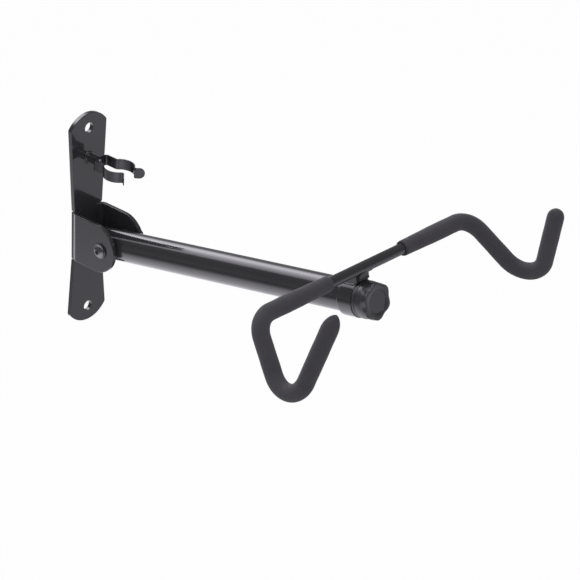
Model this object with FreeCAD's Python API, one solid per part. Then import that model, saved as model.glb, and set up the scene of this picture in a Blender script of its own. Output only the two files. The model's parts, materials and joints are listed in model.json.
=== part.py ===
import FreeCAD, Part
import math
import os

# Folding wall rack that hangs one bicycle by its top tube.
#
# Frame, in millimetres: the origin is midway between the two wall screw holes,
# on the back face of the plate. +Z is up, -Y points out of the wall, and the
# rack is symmetric about X = 0 apart from the hinge bolt.
#
# Pieces on the arm are drawn lying along -Y with the hinge at the origin:
# x is sideways, "along" is the distance from the hinge, "up" is at right angles
# to the arm. on_arm() then tilts them and moves them to the hinge.

# Wall plate: one bent sheet
sheet = 4.5
plate_length = 236.0
plate_end_width = 49.6
plate_waist_setback = 2.6
plate_end_radius = 30.0
plate_corner_radius = 3.5
screw_hole_from_end = 16.0
screw_hole_diameter = 11.0
sheet_edge_radius = 0.6

# Cheeks that carry the hinge
cheek_side_gap = 1.5
cheek_height = 53.0
cheek_rise = 0.5
cheek_reach = 63.75
cheek_bend_radius = 5.0
relief_width = 1.2
hinge_reach = 45.0
hinge_height = -15.0

# Hinge bolt, nut and washers (M8), spacer sleeve and bushes
bolt_diameter = 8.0
bolt_length = 60.0
bolt_head_diameter = 14.0
bolt_head_height = 4.4
bolt_socket_width = 5.0
bolt_socket_depth = 2.6
bolt_head_rim = 0.9
bolt_end_chamfer = 0.8
bolt_hole_clearance = 0.4
washer_diameter = 16.0
washer_thickness = 1.6
nut_width = 13.0
nut_height = 8.0
nut_collar_height = 2.4
nut_collar_diameter = 11.5
nut_collar_rounding = 1.0
sleeve_diameter = 12.0
bush_diameter = 16.0
bush_flange_diameter = 22.0
bush_reach_inside = 2.0
bush_cheek_gap = 0.3

# Arm tube
tube_diameter = 32.0
tube_wall = 2.0
tube_length = 336.0
arm_tilt = 11.57
stop_gap = 0.1

# Spring clip that holds the folded arm
clip_height = 69.2
clip_stand_off = 20.0
clip_post_diameter = 9.0
clip_post_weld = 1.5
clip_sheet = 1.2
clip_strip_width = 11.2
clip_jaw_reach = 48.3
clip_jaw_squeeze = 1.0
clip_jaw_start = 40.0
clip_jaw_end = 142.0
clip_bend_radius = 2.5
clip_lip_angle = 45.0
clip_lip_run = 2.4
clip_screw_diameter = 4.0
clip_screw_length = 12.2
clip_screw_hole_depth = 12.0
clip_screw_head_diameter = 8.0
clip_screw_head_height = 2.6
clip_screw_head_rim = 0.5

# Clamp at the outer end of the arm
running_clearance = 0.05
face_clearance = 0.1
plug_length = 22.0
stud_diameter = 10.0
stud_inside_plug = 18.0
stud_beyond_tube = 19.0
stud_end_chamfer = 1.0
friction_ring_thickness = 1.0
collar_diameter = 37.5
collar_overlap = 14.0
collar_end_wall = 3.0
collar_edge_radius = 1.2
thrust_washer_diameter = 35.0
thrust_washer_thickness = 4.0
thrust_washer_chamfer = 0.5

# Clamp knob
knob_lobe_diameter = 37.8
knob_lobes = 5
knob_first_lobe = 43.0
knob_lobe_radius = 13.2
knob_hollow_radius = 25.0
knob_length = 13.6
knob_shoulder_length = 4.4
knob_shoulder_drop = 1.6
knob_shoulder_overrun = 0.2
knob_edge_radius = 1.8
knob_bore_diameter = 11.0
knob_nut_width = 17.0
knob_nut_height = 8.0
knob_nut_floor = 3.0
knob_cap_diameter = 23.0
knob_cap_thickness = 1.8
knob_cap_recess = 0.4

# Holder: neck, bar with two hooks, foam sleeves
bar_diameter = 11.0
bar_forward = 6.9
bar_up = 34.0
bar_half_length = 149.7
hook_low_side = 177.8
hook_low_forward = 55.2
hook_drop = 79.1
hook_tip_side = 157.7
hook_tip_forward = 106.9
hook_tip_rise = 21.8
hook_bend_radius = 26.2
neck_width = 18.0
neck_sink = 3.0
neck_back_bow = 6.0
neck_front_setback = 4.0
neck_front_bow = 1.2
neck_toe = 2.0
foam_diameter = 17.0
foam_start_diameter = 15.4
foam_start = 52.0
foam_taper = 50.0
foam_tip_thickness = 7.0

# Places that follow from the sizes above
screw_hole_spacing = plate_length - 2 * screw_hole_from_end
cheek_width = tube_diameter + 2 * (cheek_side_gap + sheet)
cheek_half = cheek_width / 2
plate_waist_half = cheek_half - plate_waist_setback
cheek_inner = cheek_half - sheet
cheek_middle = hinge_height + cheek_rise
cheek_top = cheek_middle + cheek_height / 2
cheek_bottom = cheek_middle - cheek_height / 2
bend_outer = cheek_bend_radius + sheet
tube_radius = tube_diameter / 2
tube_bore = tube_radius - tube_wall
heel_radius = hinge_reach - sheet - stop_gap
collar_front = tube_length + friction_ring_thickness + face_clearance + collar_end_wall
thrust_start = collar_front + face_clearance
knob_back = thrust_start + thrust_washer_thickness + face_clearance
knob_front = knob_back + knob_length
bar_along = collar_front + bar_forward
hook_low_along = bar_along + hook_low_forward
hook_low_up = bar_up - hook_drop
hook_tip_along = bar_along + hook_tip_forward
hook_tip_up = bar_up + hook_tip_rise
bar_radius = bar_diameter / 2
foam_radius = foam_diameter / 2

# Slack allowed when edges are picked by their place
near = 0.01

X = FreeCAD.Vector(1, 0, 0)
Y = FreeCAD.Vector(0, 1, 0)
Z = FreeCAD.Vector(0, 0, 1)
OUT = FreeCAD.Vector(0, -1, 0)
HINGE = FreeCAD.Vector(0, -hinge_reach, hinge_height)


def vec(x, y, z):
    return FreeCAD.Vector(x, y, z)


def arm_vec(side, along, up):
    """A point of the arm, drawn with the hinge at the origin and no tilt."""
    return FreeCAD.Vector(side, -along, up)


def on_arm(shape):
    """Tilt a shape drawn along -Y up by the arm's angle and move it to the hinge."""
    placed = shape.copy()
    placed.rotate(vec(0, 0, 0), X, -arm_tilt)
    placed.translate(HINGE)
    return placed


def disc(diameter, start, direction, length):
    return Part.makeCylinder(diameter / 2, length, start, direction)


def ring(outer, inner, start, direction, length):
    return disc(outer, start, direction, length).cut(disc(inner, start, direction, length))


def prism(points, direction):
    """Closed straight-sided outline, carried along a direction."""
    outline = Part.makePolygon(points + [points[0]])
    return Part.Face(outline).extrude(direction)


def hexagon(width, centre, direction, length):
    """Hexagonal prism along one of the axes, sized by its width across flats."""
    radius = width / math.sqrt(3)
    side = Z if abs(direction.z) < 0.5 else X
    points = []
    for corner in range(6):
        arm = FreeCAD.Rotation(direction, corner * 60).multVec(side)
        points.append(centre + arm * radius)
    return prism(points, direction * length)


def turned(profile, axis_point, axis):
    """Solid of revolution from a closed half outline of points."""
    outline = Part.makePolygon(profile + [profile[0]])
    return Part.Face(outline).revolve(axis_point, axis, 360)


def edges_where(shape, wanted):
    return [edge for edge in shape.Edges if wanted(edge)]


def route_wire(points, radius):
    """Straight runs between points, joined by tangent arcs of one radius."""
    edges = []
    start = points[0]
    for before, corner, after in zip(points, points[1:], points[2:]):
        inward = (before - corner).normalize()
        outward = (after - corner).normalize()
        half_turn = (math.pi - inward.getAngle(outward)) / 2
        setback = radius * math.tan(half_turn)
        arc_start = corner + inward * setback
        arc_end = corner + outward * setback
        to_centre = (inward + outward).normalize()
        arc_middle = corner + to_centre * (radius / math.cos(half_turn) - radius)
        edges.append(Part.LineSegment(start, arc_start).toShape())
        edges.append(Part.Arc(arc_start, arc_middle, arc_end).toShape())
        start = arc_end
    edges.append(Part.LineSegment(start, points[-1]).toShape())
    return Part.Wire(edges)


def round_bar(points, bend_radius, diameter):
    """Round bar along straight runs and tangent bends."""
    path = route_wire(points, bend_radius)
    heading = points[1] - points[0]
    section = Part.Wire(Part.makeCircle(diameter / 2, points[0], heading))
    return path.makePipeShell([section], True, False)


# ---------------------------------------------------------------- wall plate


def plate_blank():
    """Flat back plate: arched ends, tapering to a waist where the cheeks stand."""
    end = plate_end_width / 2
    waist = plate_waist_half
    top = plate_length / 2
    arch = plate_end_radius - math.sqrt(plate_end_radius**2 - end**2)
    shoulder = top - arch
    right_top = vec(end, 0, shoulder)
    right_bottom = vec(end, 0, -shoulder)
    left_bottom = vec(-end, 0, -shoulder)
    left_top = vec(-end, 0, shoulder)
    outline = Part.Wire([
        Part.Arc(left_top, vec(0, 0, top), right_top).toShape(),
        Part.LineSegment(right_top, vec(waist, 0, cheek_top)).toShape(),
        Part.LineSegment(vec(waist, 0, cheek_top), vec(waist, 0, cheek_bottom)).toShape(),
        Part.LineSegment(vec(waist, 0, cheek_bottom), right_bottom).toShape(),
        Part.Arc(right_bottom, vec(0, 0, -top), left_bottom).toShape(),
        Part.LineSegment(left_bottom, vec(-waist, 0, cheek_bottom)).toShape(),
        Part.LineSegment(vec(-waist, 0, cheek_bottom), vec(-waist, 0, cheek_top)).toShape(),
        Part.LineSegment(vec(-waist, 0, cheek_top), left_top).toShape(),
    ])
    plate = Part.Face(outline).extrude(OUT * sheet)
    corners = edges_where(
        plate,
        lambda edge: abs(edge.BoundBox.YLength - sheet) < near
        and abs(abs(edge.CenterOfMass.z) - shoulder) < near,
    )
    return plate.makeFillet(plate_corner_radius, corners)


def cheek_channel():
    """U section bent from the sheet, trimmed to the cheeks' rounded side outline."""
    flat = cheek_half - bend_outer
    nose = -cheek_reach - sheet
    diagonal = math.sqrt(0.5)
    outer_mid = flat + bend_outer * diagonal
    outer_mid_y = -bend_outer + bend_outer * diagonal
    inner_mid = flat + cheek_bend_radius * diagonal
    inner_mid_y = -bend_outer + cheek_bend_radius * diagonal

    def at(x, y):
        return vec(x, y, cheek_bottom)

    def line(start, end):
        return Part.LineSegment(start, end).toShape()

    section = Part.Wire([
        line(at(-cheek_half, nose), at(-cheek_half, -bend_outer)),
        Part.Arc(at(-cheek_half, -bend_outer), at(-outer_mid, outer_mid_y), at(-flat, 0)).toShape(),
        line(at(-flat, 0), at(flat, 0)),
        Part.Arc(at(flat, 0), at(outer_mid, outer_mid_y), at(cheek_half, -bend_outer)).toShape(),
        line(at(cheek_half, -bend_outer), at(cheek_half, nose)),
        line(at(cheek_half, nose), at(cheek_inner, nose)),
        line(at(cheek_inner, nose), at(cheek_inner, -bend_outer)),
        Part.Arc(at(cheek_inner, -bend_outer), at(inner_mid, inner_mid_y), at(flat, -sheet)).toShape(),
        line(at(flat, -sheet), at(-flat, -sheet)),
        Part.Arc(at(-flat, -sheet), at(-inner_mid, inner_mid_y), at(-cheek_inner, -bend_outer)).toShape(),
        line(at(-cheek_inner, -bend_outer), at(-cheek_inner, nose)),
        line(at(-cheek_inner, nose), at(-cheek_half, nose)),
    ])
    channel = Part.Face(section).extrude(Z * cheek_height)

    nose_radius = cheek_height / 2
    nose_centre = vec(-cheek_width, nose_radius - cheek_reach, cheek_middle)
    side = Part.makeBox(
        2 * cheek_width,
        cheek_reach - nose_radius,
        cheek_height,
        vec(-cheek_width, nose_radius - cheek_reach, cheek_bottom),
    )
    side = side.fuse(disc(cheek_height, nose_centre, X, 2 * cheek_width))
    return channel.common(side)


def relief_cuts():
    """Round-ended slots beside the bends, above and below the cheeks."""
    cuts = []
    inner_end = cheek_half - bend_outer
    for height in (cheek_top + relief_width / 2, cheek_bottom - relief_width / 2):
        for side in (-1, 1):
            centre = vec(side * inner_end, 0, height)
            cuts.append(disc(relief_width, centre, OUT, sheet))
            corner = vec(min(side * inner_end, side * cheek_width), -sheet, height - relief_width / 2)
            cuts.append(Part.makeBox(cheek_width - inner_end, sheet, relief_width, corner))
    return cuts


def wall_plate():
    plate = plate_blank().fuse(cheek_channel()).removeSplitter()
    for cut in relief_cuts():
        plate = plate.cut(cut)
    for height in (-screw_hole_spacing / 2, screw_hole_spacing / 2):
        plate = plate.cut(disc(screw_hole_diameter, vec(0, 0, height), OUT, sheet))
    hinge_hole = bolt_diameter + bolt_hole_clearance
    start = vec(-cheek_width, -hinge_reach, hinge_height)
    plate = plate.cut(disc(hinge_hole, start, X, 2 * cheek_width))
    return round_sheet_edges(plate)


def round_sheet_edges(plate):
    """Break the outline edges of the front face and of both cheeks."""
    def on_cheek_outline(edge):
        box = edge.BoundBox
        flat_in_x = box.XLength < near
        in_front = box.YMax < -bend_outer + near
        not_hole = box.DiagonalLength > bolt_head_diameter
        return flat_in_x and in_front and not_hole and box.ZLength + box.YLength > sheet

    def on_plate_outline(edge):
        box = edge.BoundBox
        flat_in_y = box.YLength < near
        on_front = abs(box.YMin + sheet) < near
        clear_of_cheeks = box.ZMin > cheek_top + relief_width - near
        clear_of_cheeks = clear_of_cheeks or box.ZMax < cheek_bottom - relief_width + near
        not_hole = abs(box.XMin) > screw_hole_diameter
        return flat_in_y and on_front and clear_of_cheeks and not_hole

    for wanted in (on_cheek_outline, on_plate_outline):
        plate = plate.makeFillet(sheet_edge_radius, edges_where(plate, wanted))
    return plate


# ---------------------------------------------------------------- spring clip


def clip_post():
    """Stand-off welded to the plate, with a blind hole for the clip screw."""
    start = vec(0, -sheet, clip_height)
    length = clip_stand_off - sheet
    post = disc(clip_post_diameter, start, OUT, length)
    weld_radius = clip_post_diameter / 2 + clip_post_weld
    weld = Part.makeCone(weld_radius, clip_post_diameter / 2, clip_post_weld, start, OUT)
    bore_start = vec(0, -clip_stand_off, clip_height)
    return post.fuse(weld).cut(disc(clip_screw_diameter, bore_start, Y, clip_screw_hole_depth))


def clip_half_path(side):
    """Centre line of half the strip in plan, and the centre and heading of its lip."""
    jaw_radius = tube_radius - clip_jaw_squeeze + clip_sheet / 2
    start = math.radians(clip_jaw_start)
    end = math.radians(clip_jaw_end)
    bend = clip_bend_radius
    base = clip_stand_off + clip_sheet / 2
    wall_side = jaw_radius * math.sin(start) - bend * (1 - math.sin(start))
    wall_end = clip_jaw_reach - (jaw_radius + bend) * math.cos(start)

    def plan(x, reach):
        return vec(side * x, -reach, clip_height)

    def jaw(angle, radius=jaw_radius):
        return radius * math.sin(angle), clip_jaw_reach - radius * math.cos(angle)

    def arc(centre, radius, first, last):
        points = []
        for angle in (first, (first + last) / 2, last):
            x = centre[0] + radius * math.cos(angle)
            reach = centre[1] + radius * math.sin(angle)
            points.append(plan(x, reach))
        return Part.Arc(*points).toShape()

    shoulder = jaw(start, jaw_radius + bend)
    neck = jaw(end, jaw_radius + bend)
    lip_heading = math.radians(clip_lip_angle)
    lip_start_angle = lip_heading + math.pi / 2
    lip_x = neck[0] + bend * math.cos(lip_start_angle)
    lip_reach = neck[1] + bend * math.sin(lip_start_angle)
    lip_centre = plan(
        lip_x + clip_lip_run * math.cos(lip_heading),
        lip_reach + clip_lip_run * math.sin(lip_heading),
    )
    edges = [
        Part.LineSegment(plan(0, base), plan(wall_side - bend, base)).toShape(),
        arc((wall_side - bend, base + bend), bend, -math.pi / 2, 0),
        Part.LineSegment(plan(wall_side, base + bend), plan(wall_side, wall_end)).toShape(),
        arc(shoulder, bend, math.pi, start + math.pi / 2),
        arc((0, clip_jaw_reach), jaw_radius, start - math.pi / 2, end - math.pi / 2),
        arc(neck, bend, end + math.pi / 2, lip_start_angle),
        Part.LineSegment(plan(lip_x, lip_reach), lip_centre).toShape(),
    ]
    heading = vec(side * math.cos(lip_heading), -math.sin(lip_heading), 0)
    return Part.Wire(edges), lip_centre, heading


def tube_clip():
    """Spring strip: flat base, two round jaws and flared lips with round ends."""
    base = -clip_stand_off - clip_sheet / 2
    low = clip_height - clip_strip_width / 2
    high = clip_height + clip_strip_width / 2
    back = base + clip_sheet / 2
    front = base - clip_sheet / 2
    section = Part.makePolygon([
        vec(0, back, low), vec(0, back, high), vec(0, front, high), vec(0, front, low), vec(0, back, low),
    ])
    halves = []
    for side in (-1, 1):
        path, lip_centre, heading = clip_half_path(side)
        strip = path.makePipeShell([section], True, False)
        face = heading.cross(Z)
        start = lip_centre - face * (clip_sheet / 2)
        halves.append(strip.fuse(disc(clip_strip_width, start, face, clip_sheet)))
    clip = halves[0].fuse(halves[1]).removeSplitter()
    return clip.cut(disc(clip_screw_diameter, vec(0, back, clip_height), OUT, clip_sheet))


def clip_screw():
    """Round-headed screw through the clip's base into the stand-off."""
    seat = -clip_stand_off - clip_sheet
    shank = disc(clip_screw_diameter, vec(0, seat, clip_height), Y, clip_screw_length)
    head = dome_head(clip_screw_head_diameter, clip_screw_head_height, clip_screw_head_rim)
    head.rotate(vec(0, 0, 0), X, 90)
    head.translate(vec(0, seat, clip_height))
    return shank.fuse(head)


def dome_head(diameter, height, rim):
    """Low round head standing on Z = 0, with a short straight rim."""
    radius = diameter / 2
    cap = height - rim
    sphere_radius = (radius**2 + cap**2) / (2 * cap)
    sphere = Part.makeSphere(sphere_radius, vec(0, 0, height - sphere_radius))
    return disc(diameter, vec(0, 0, 0), Z, height).common(sphere)


# ---------------------------------------------------------------- hinge


def pivot_bolt():
    """M8 button-head bolt across both cheeks."""
    seat = -cheek_half - washer_thickness
    head = dome_head(bolt_head_diameter, bolt_head_height, bolt_head_rim)
    socket_floor = bolt_head_height - bolt_socket_depth
    head = head.cut(hexagon(bolt_socket_width, vec(0, 0, socket_floor), Z, bolt_socket_depth))
    head.rotate(vec(0, 0, 0), Y, -90)
    head.translate(vec(seat, 0, 0))
    bolt = head.fuse(disc(bolt_diameter, vec(seat, 0, 0), X, bolt_length))
    tip = seat + bolt_length
    end_edge = edges_where(bolt, lambda edge: abs(edge.BoundBox.XMin - tip) < near)
    bolt = bolt.makeChamfer(bolt_end_chamfer, end_edge)
    bolt.translate(HINGE)
    return bolt


def pivot_washers():
    """One washer under the bolt head and one under the nut."""
    washers = []
    hole = bolt_diameter + bolt_hole_clearance
    for start in (-cheek_half - washer_thickness, cheek_half):
        washers.append(ring(washer_diameter, hole, HINGE + X * start, X, washer_thickness))
    return Part.makeCompound(washers)


def pivot_nut():
    """Self-locking hexagon nut with a round collar, corners turned off."""
    seat = cheek_half + washer_thickness
    hex_height = nut_height - nut_collar_height
    nut = hexagon(nut_width, X * seat, X, hex_height)
    corner_radius = nut_width / math.sqrt(3)
    slope = corner_radius - nut_width / 2
    profile = [
        vec(seat, 0, 0),
        vec(seat, nut_width / 2, 0),
        vec(seat + slope / 2, corner_radius, 0),
        vec(seat + hex_height - slope / 2, corner_radius, 0),
        vec(seat + hex_height, nut_width / 2, 0),
        vec(seat + hex_height, 0, 0),
    ]
    nut = nut.common(turned(profile, vec(0, 0, 0), X))
    collar = disc(nut_collar_diameter, X * (seat + hex_height), X, nut_collar_height)
    rim = edges_where(collar, lambda edge: edge.BoundBox.XMin > seat + nut_height - near)
    nut = nut.fuse(collar.makeFillet(nut_collar_rounding, rim))
    nut = nut.cut(disc(bolt_diameter, X * seat, X, nut_height))
    nut.translate(HINGE)
    return nut


def pivot_sleeve():
    """Steel spacer that keeps the cheeks apart when the bolt is tight."""
    bore = bolt_diameter + bolt_hole_clearance
    return ring(sleeve_diameter, bore, HINGE - X * cheek_inner, X, 2 * cheek_inner)


def pivot_bushes():
    """Nylon bushes: barrels in the tube wall, flanges saddled to the tube's side."""
    outer_face = cheek_inner - bush_cheek_gap
    bore = sleeve_diameter + 2 * running_clearance
    tube = disc(tube_diameter, arm_vec(0, -tube_diameter, 0), OUT, 2 * tube_diameter)
    bushes = []
    for side in (-1, 1):
        heading = X * side
        barrel_start = heading * (tube_bore - bush_reach_inside)
        barrel_length = outer_face - tube_bore + bush_reach_inside
        flange = disc(bush_flange_diameter, vec(0, 0, 0), heading, outer_face).cut(tube)
        bush = disc(bush_diameter, barrel_start, heading, barrel_length).fuse(flange)
        bushes.append(bush.cut(disc(bore, vec(0, 0, 0), heading, outer_face)))
    return on_arm(Part.makeCompound(bushes))


# ---------------------------------------------------------------- arm


def arm_tube():
    """Round tube. Its heel is rounded about the hinge above, and flat below, where
    it comes to rest on the plate and stops the arm. It clears the cheeks' bends."""
    start = arm_vec(0, -2 * hinge_reach, 0)
    length = 2 * hinge_reach + tube_length
    tube = ring(tube_diameter, 2 * tube_bore, start, OUT, length)
    hole_start = vec(-tube_diameter, 0, 0)
    tube = tube.cut(disc(bush_diameter, hole_start, X, 2 * tube_diameter))
    tube = on_arm(tube)
    heel_half = cheek_inner - stop_gap
    swing = disc(2 * heel_radius, vec(-heel_half, -hinge_reach, hinge_height), X, 2 * heel_half)
    swing = swing.makeFillet(cheek_bend_radius, edges_where(swing, lambda edge: edge.BoundBox.XLength < near))
    outboard = Part.makeBox(
        2 * tube_diameter,
        2 * tube_length,
        2 * tube_length,
        vec(-tube_diameter, -hinge_reach - 2 * tube_length, hinge_height - tube_length),
    )
    below = Part.makeBox(
        2 * heel_half,
        heel_radius,
        2 * tube_diameter,
        vec(-heel_half, -hinge_reach, hinge_height - 2 * tube_diameter),
    )
    wall_side = heel_radius - hinge_reach
    corners = edges_where(
        below,
        lambda edge: edge.BoundBox.ZLength > tube_diameter and edge.BoundBox.YMin > wall_side - near,
    )
    below = below.makeFillet(cheek_bend_radius, corners)
    return tube.common(swing.fuse(outboard).fuse(below))


def end_plug():
    """Steel plug welded inside the outer end of the tube, tapped for the stud."""
    plug = disc(2 * tube_bore, arm_vec(0, tube_length - plug_length, 0), OUT, plug_length)
    bore = disc(stud_diameter, arm_vec(0, tube_length - stud_inside_plug, 0), OUT, stud_inside_plug)
    return on_arm(plug.cut(bore))


def clamp_stud():
    """M10 stud from the plug into the knob's nut."""
    length = stud_inside_plug + stud_beyond_tube
    stud = disc(stud_diameter, arm_vec(0, tube_length - stud_inside_plug, 0), OUT, length)
    tip = -tube_length - stud_beyond_tube
    end_edge = edges_where(stud, lambda edge: abs(edge.BoundBox.YMax - tip) < near)
    return on_arm(stud.makeChamfer(stud_end_chamfer, end_edge))


def friction_ring():
    """Fibre ring between the end of the tube and the holder's end wall."""
    bore = stud_diameter + 2 * face_clearance
    start = arm_vec(0, tube_length, 0)
    outer = tube_diameter - 2 * face_clearance
    return on_arm(ring(outer, bore, start, OUT, friction_ring_thickness))


# ---------------------------------------------------------------- holder


def holder_collar():
    """Cup that turns on the end of the tube, with a hole for the stud."""
    back = tube_length - collar_overlap
    length = collar_front - back
    collar = disc(collar_diameter, arm_vec(0, back, 0), OUT, length)
    rims = edges_where(collar, lambda edge: edge.BoundBox.YLength < near)
    collar = collar.makeFillet(collar_edge_radius, rims)
    bore = tube_diameter + 2 * running_clearance
    collar = collar.cut(disc(bore, arm_vec(0, back, 0), OUT, length - collar_end_wall))
    stud_hole = stud_diameter + 2 * running_clearance
    return on_arm(collar.cut(disc(stud_hole, arm_vec(0, back, 0), OUT, length)))


def holder_neck():
    """Lug from the collar to the bar, fitted to both round surfaces."""
    back = tube_length - collar_overlap + collar_edge_radius
    foot = collar_diameter / 2
    low = foot - neck_sink
    side = -neck_width / 2
    bar_back = bar_along - bar_radius
    bar_low = bar_up - bar_radius
    front = bar_along - neck_front_setback

    def at(along, up):
        return arm_vec(side, along, up)

    def line(start, end):
        return Part.LineSegment(start, end).toShape()

    waist_up = (foot + bar_up) / 2
    back_bend = Part.Arc(at(back, foot), at(bar_back - neck_back_bow, waist_up), at(bar_back, bar_up))
    front_bend = Part.Arc(
        at(front, bar_low),
        at(front - neck_front_bow, (foot + bar_low) / 2),
        at(collar_front + neck_toe, foot),
    )
    outline = Part.Wire([
        line(at(back, low), at(back, foot)),
        back_bend.toShape(),
        line(at(bar_back, bar_up), at(front, bar_up)),
        line(at(front, bar_up), at(front, bar_low)),
        front_bend.toShape(),
        line(at(collar_front + neck_toe, foot), at(collar_front, foot)),
        line(at(collar_front, foot), at(collar_front, low)),
        line(at(collar_front, low), at(back, low)),
    ])
    lug = Part.Face(outline).extrude(X * neck_width)
    back_length = collar_front - tube_length + collar_overlap
    lug = lug.cut(disc(collar_diameter, arm_vec(0, tube_length - collar_overlap, 0), OUT, back_length))
    lug = lug.cut(disc(bar_diameter, arm_vec(-neck_width, bar_along, bar_up), X, 2 * neck_width))
    return on_arm(lug)


def hook_points(side):
    """Centre line of one end of the bar, from its middle to the end of the foam."""
    return [
        arm_vec(0, bar_along, bar_up),
        arm_vec(side * bar_half_length, bar_along, bar_up),
        arm_vec(side * hook_low_side, hook_low_along, hook_low_up),
        arm_vec(side * hook_tip_side, hook_tip_along, hook_tip_up),
    ]


def shortened(points, length):
    """The same route, ending a length before its last point."""
    back = (points[-2] - points[-1]).normalize()
    return points[:-1] + [points[-1] + back * length]


def cross_bar():
    """One bent round bar: level across the arm, a vee hook at each end."""
    left = shortened(hook_points(-1), foam_tip_thickness)
    right = shortened(hook_points(1), foam_tip_thickness)
    points = left[:0:-1] + right[1:]
    return on_arm(round_bar(points, hook_bend_radius, bar_diameter))


def foam_sleeve(side, bar):
    """Foam sleeve over one hook: tapered open end, domed closed tip."""
    points = hook_points(side)
    taper_end = arm_vec(side * (foam_start + foam_taper), bar_along, bar_up)
    route = shortened([taper_end] + points[1:], foam_radius)
    foam = round_bar(route, hook_bend_radius, foam_diameter)
    foam = foam.fuse(Part.makeSphere(foam_radius, route[-1]))
    start = arm_vec(side * foam_start, bar_along, bar_up)
    taper = Part.makeCone(foam_start_diameter / 2, foam_radius, foam_taper, start, X * side)
    return on_arm(foam.fuse(taper)).cut(bar)


# ---------------------------------------------------------------- knob


def thrust_washer():
    """Plastic washer that slides on the stud between the holder and the knob."""
    bore = stud_diameter + 2 * face_clearance
    washer = ring(thrust_washer_diameter, bore, arm_vec(0, thrust_start, 0), OUT, thrust_washer_thickness)
    rims = edges_where(
        washer,
        lambda edge: edge.BoundBox.YLength < near and edge.BoundBox.XLength > bore + near,
    )
    return on_arm(washer.makeChamfer(thrust_washer_chamfer, rims))


def crown_outline():
    """Smooth lobed outline: round lobes joined by tangent hollow arcs."""
    half_step = math.pi / knob_lobes
    lobe_reach = knob_lobe_diameter / 2 - knob_lobe_radius
    between_centres = knob_lobe_radius + knob_hollow_radius
    hollow_centre_reach = lobe_reach * math.cos(half_step) + math.sqrt(
        between_centres**2 - (lobe_reach * math.sin(half_step)) ** 2
    )
    hollow_reach = hollow_centre_reach - knob_hollow_radius

    def at(reach, angle):
        return reach * FreeCAD.Vector(math.cos(angle), 0, math.sin(angle))

    def join(lobe_angle, hollow_angle):
        lobe_centre = at(lobe_reach, lobe_angle)
        toward_hollow = (at(hollow_centre_reach, hollow_angle) - lobe_centre).normalize()
        return lobe_centre + toward_hollow * knob_lobe_radius

    edges = []
    for lobe in range(knob_lobes):
        angle = math.radians(knob_first_lobe) + 2 * half_step * lobe
        before = join(angle, angle - half_step)
        after = join(angle, angle + half_step)
        following = join(angle + 2 * half_step, angle + half_step)
        edges.append(Part.Arc(before, at(knob_lobe_diameter / 2, angle), after).toShape())
        edges.append(Part.Arc(after, at(hollow_reach, angle + half_step), following).toShape())
    return Part.Wire(edges)


def knob_envelope():
    """Body of revolution round the knob: its shoulder grows in an arc from the back
    and ends a little outside the lobes."""
    rise = knob_shoulder_drop + knob_shoulder_overrun
    outer = knob_lobe_diameter / 2 + knob_shoulder_overrun
    arc_radius = (knob_shoulder_length**2 + rise**2) / (2 * rise)
    arc_half = math.asin(knob_shoulder_length / arc_radius) / 2
    shoulder_end = knob_back + knob_shoulder_length
    arc_middle = arm_vec(
        outer - arc_radius * (1 - math.cos(arc_half)),
        shoulder_end - arc_radius * math.sin(arc_half),
        0,
    )
    back = arm_vec(0, knob_back, 0)
    back_rim = arm_vec(outer - rise, knob_back, 0)
    widest = arm_vec(outer, shoulder_end, 0)
    front_rim = arm_vec(outer, knob_front, 0)
    front = arm_vec(0, knob_front, 0)
    outline = Part.Wire([
        Part.LineSegment(back, back_rim).toShape(),
        Part.Arc(back_rim, arc_middle, widest).toShape(),
        Part.LineSegment(widest, front_rim).toShape(),
        Part.LineSegment(front_rim, front).toShape(),
        Part.LineSegment(front, back).toShape(),
    ])
    return Part.Face(outline).revolve(back, OUT, 360)


def clamp_knob():
    """Plastic knob: lobed crown with a domed shoulder, a hexagonal pocket for its
    nut and a round recess for its cap."""
    crown = Part.Face(crown_outline()).extrude(OUT * knob_length)
    crown.translate(arm_vec(0, knob_back, 0))
    front_rim = edges_where(crown, lambda edge: edge.BoundBox.YMax < -knob_front + near)
    knob = crown.makeFillet(knob_edge_radius, front_rim).common(knob_envelope())
    knob = knob.cut(disc(knob_bore_diameter, arm_vec(0, knob_back, 0), OUT, knob_length))
    pocket_start = arm_vec(0, knob_back + knob_nut_floor, 0)
    knob = knob.cut(hexagon(knob_nut_width, pocket_start, OUT, knob_length))
    recess = knob_cap_recess + knob_cap_thickness
    knob = knob.cut(disc(knob_cap_diameter, arm_vec(0, knob_front - recess, 0), OUT, recess))
    return on_arm(knob)


def knob_nut():
    """M10 nut held in the knob's pocket."""
    start = arm_vec(0, knob_back + knob_nut_floor, 0)
    nut = hexagon(knob_nut_width, start, OUT, knob_nut_height)
    bore = stud_diameter + 2 * running_clearance
    return on_arm(nut.cut(disc(bore, start, OUT, knob_nut_height)))


def knob_cap():
    """Flat round cap pressed into the face of the knob."""
    recess = knob_cap_recess + knob_cap_thickness
    start = arm_vec(0, knob_front - recess, 0)
    return on_arm(disc(knob_cap_diameter, start, OUT, knob_cap_thickness))


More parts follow.
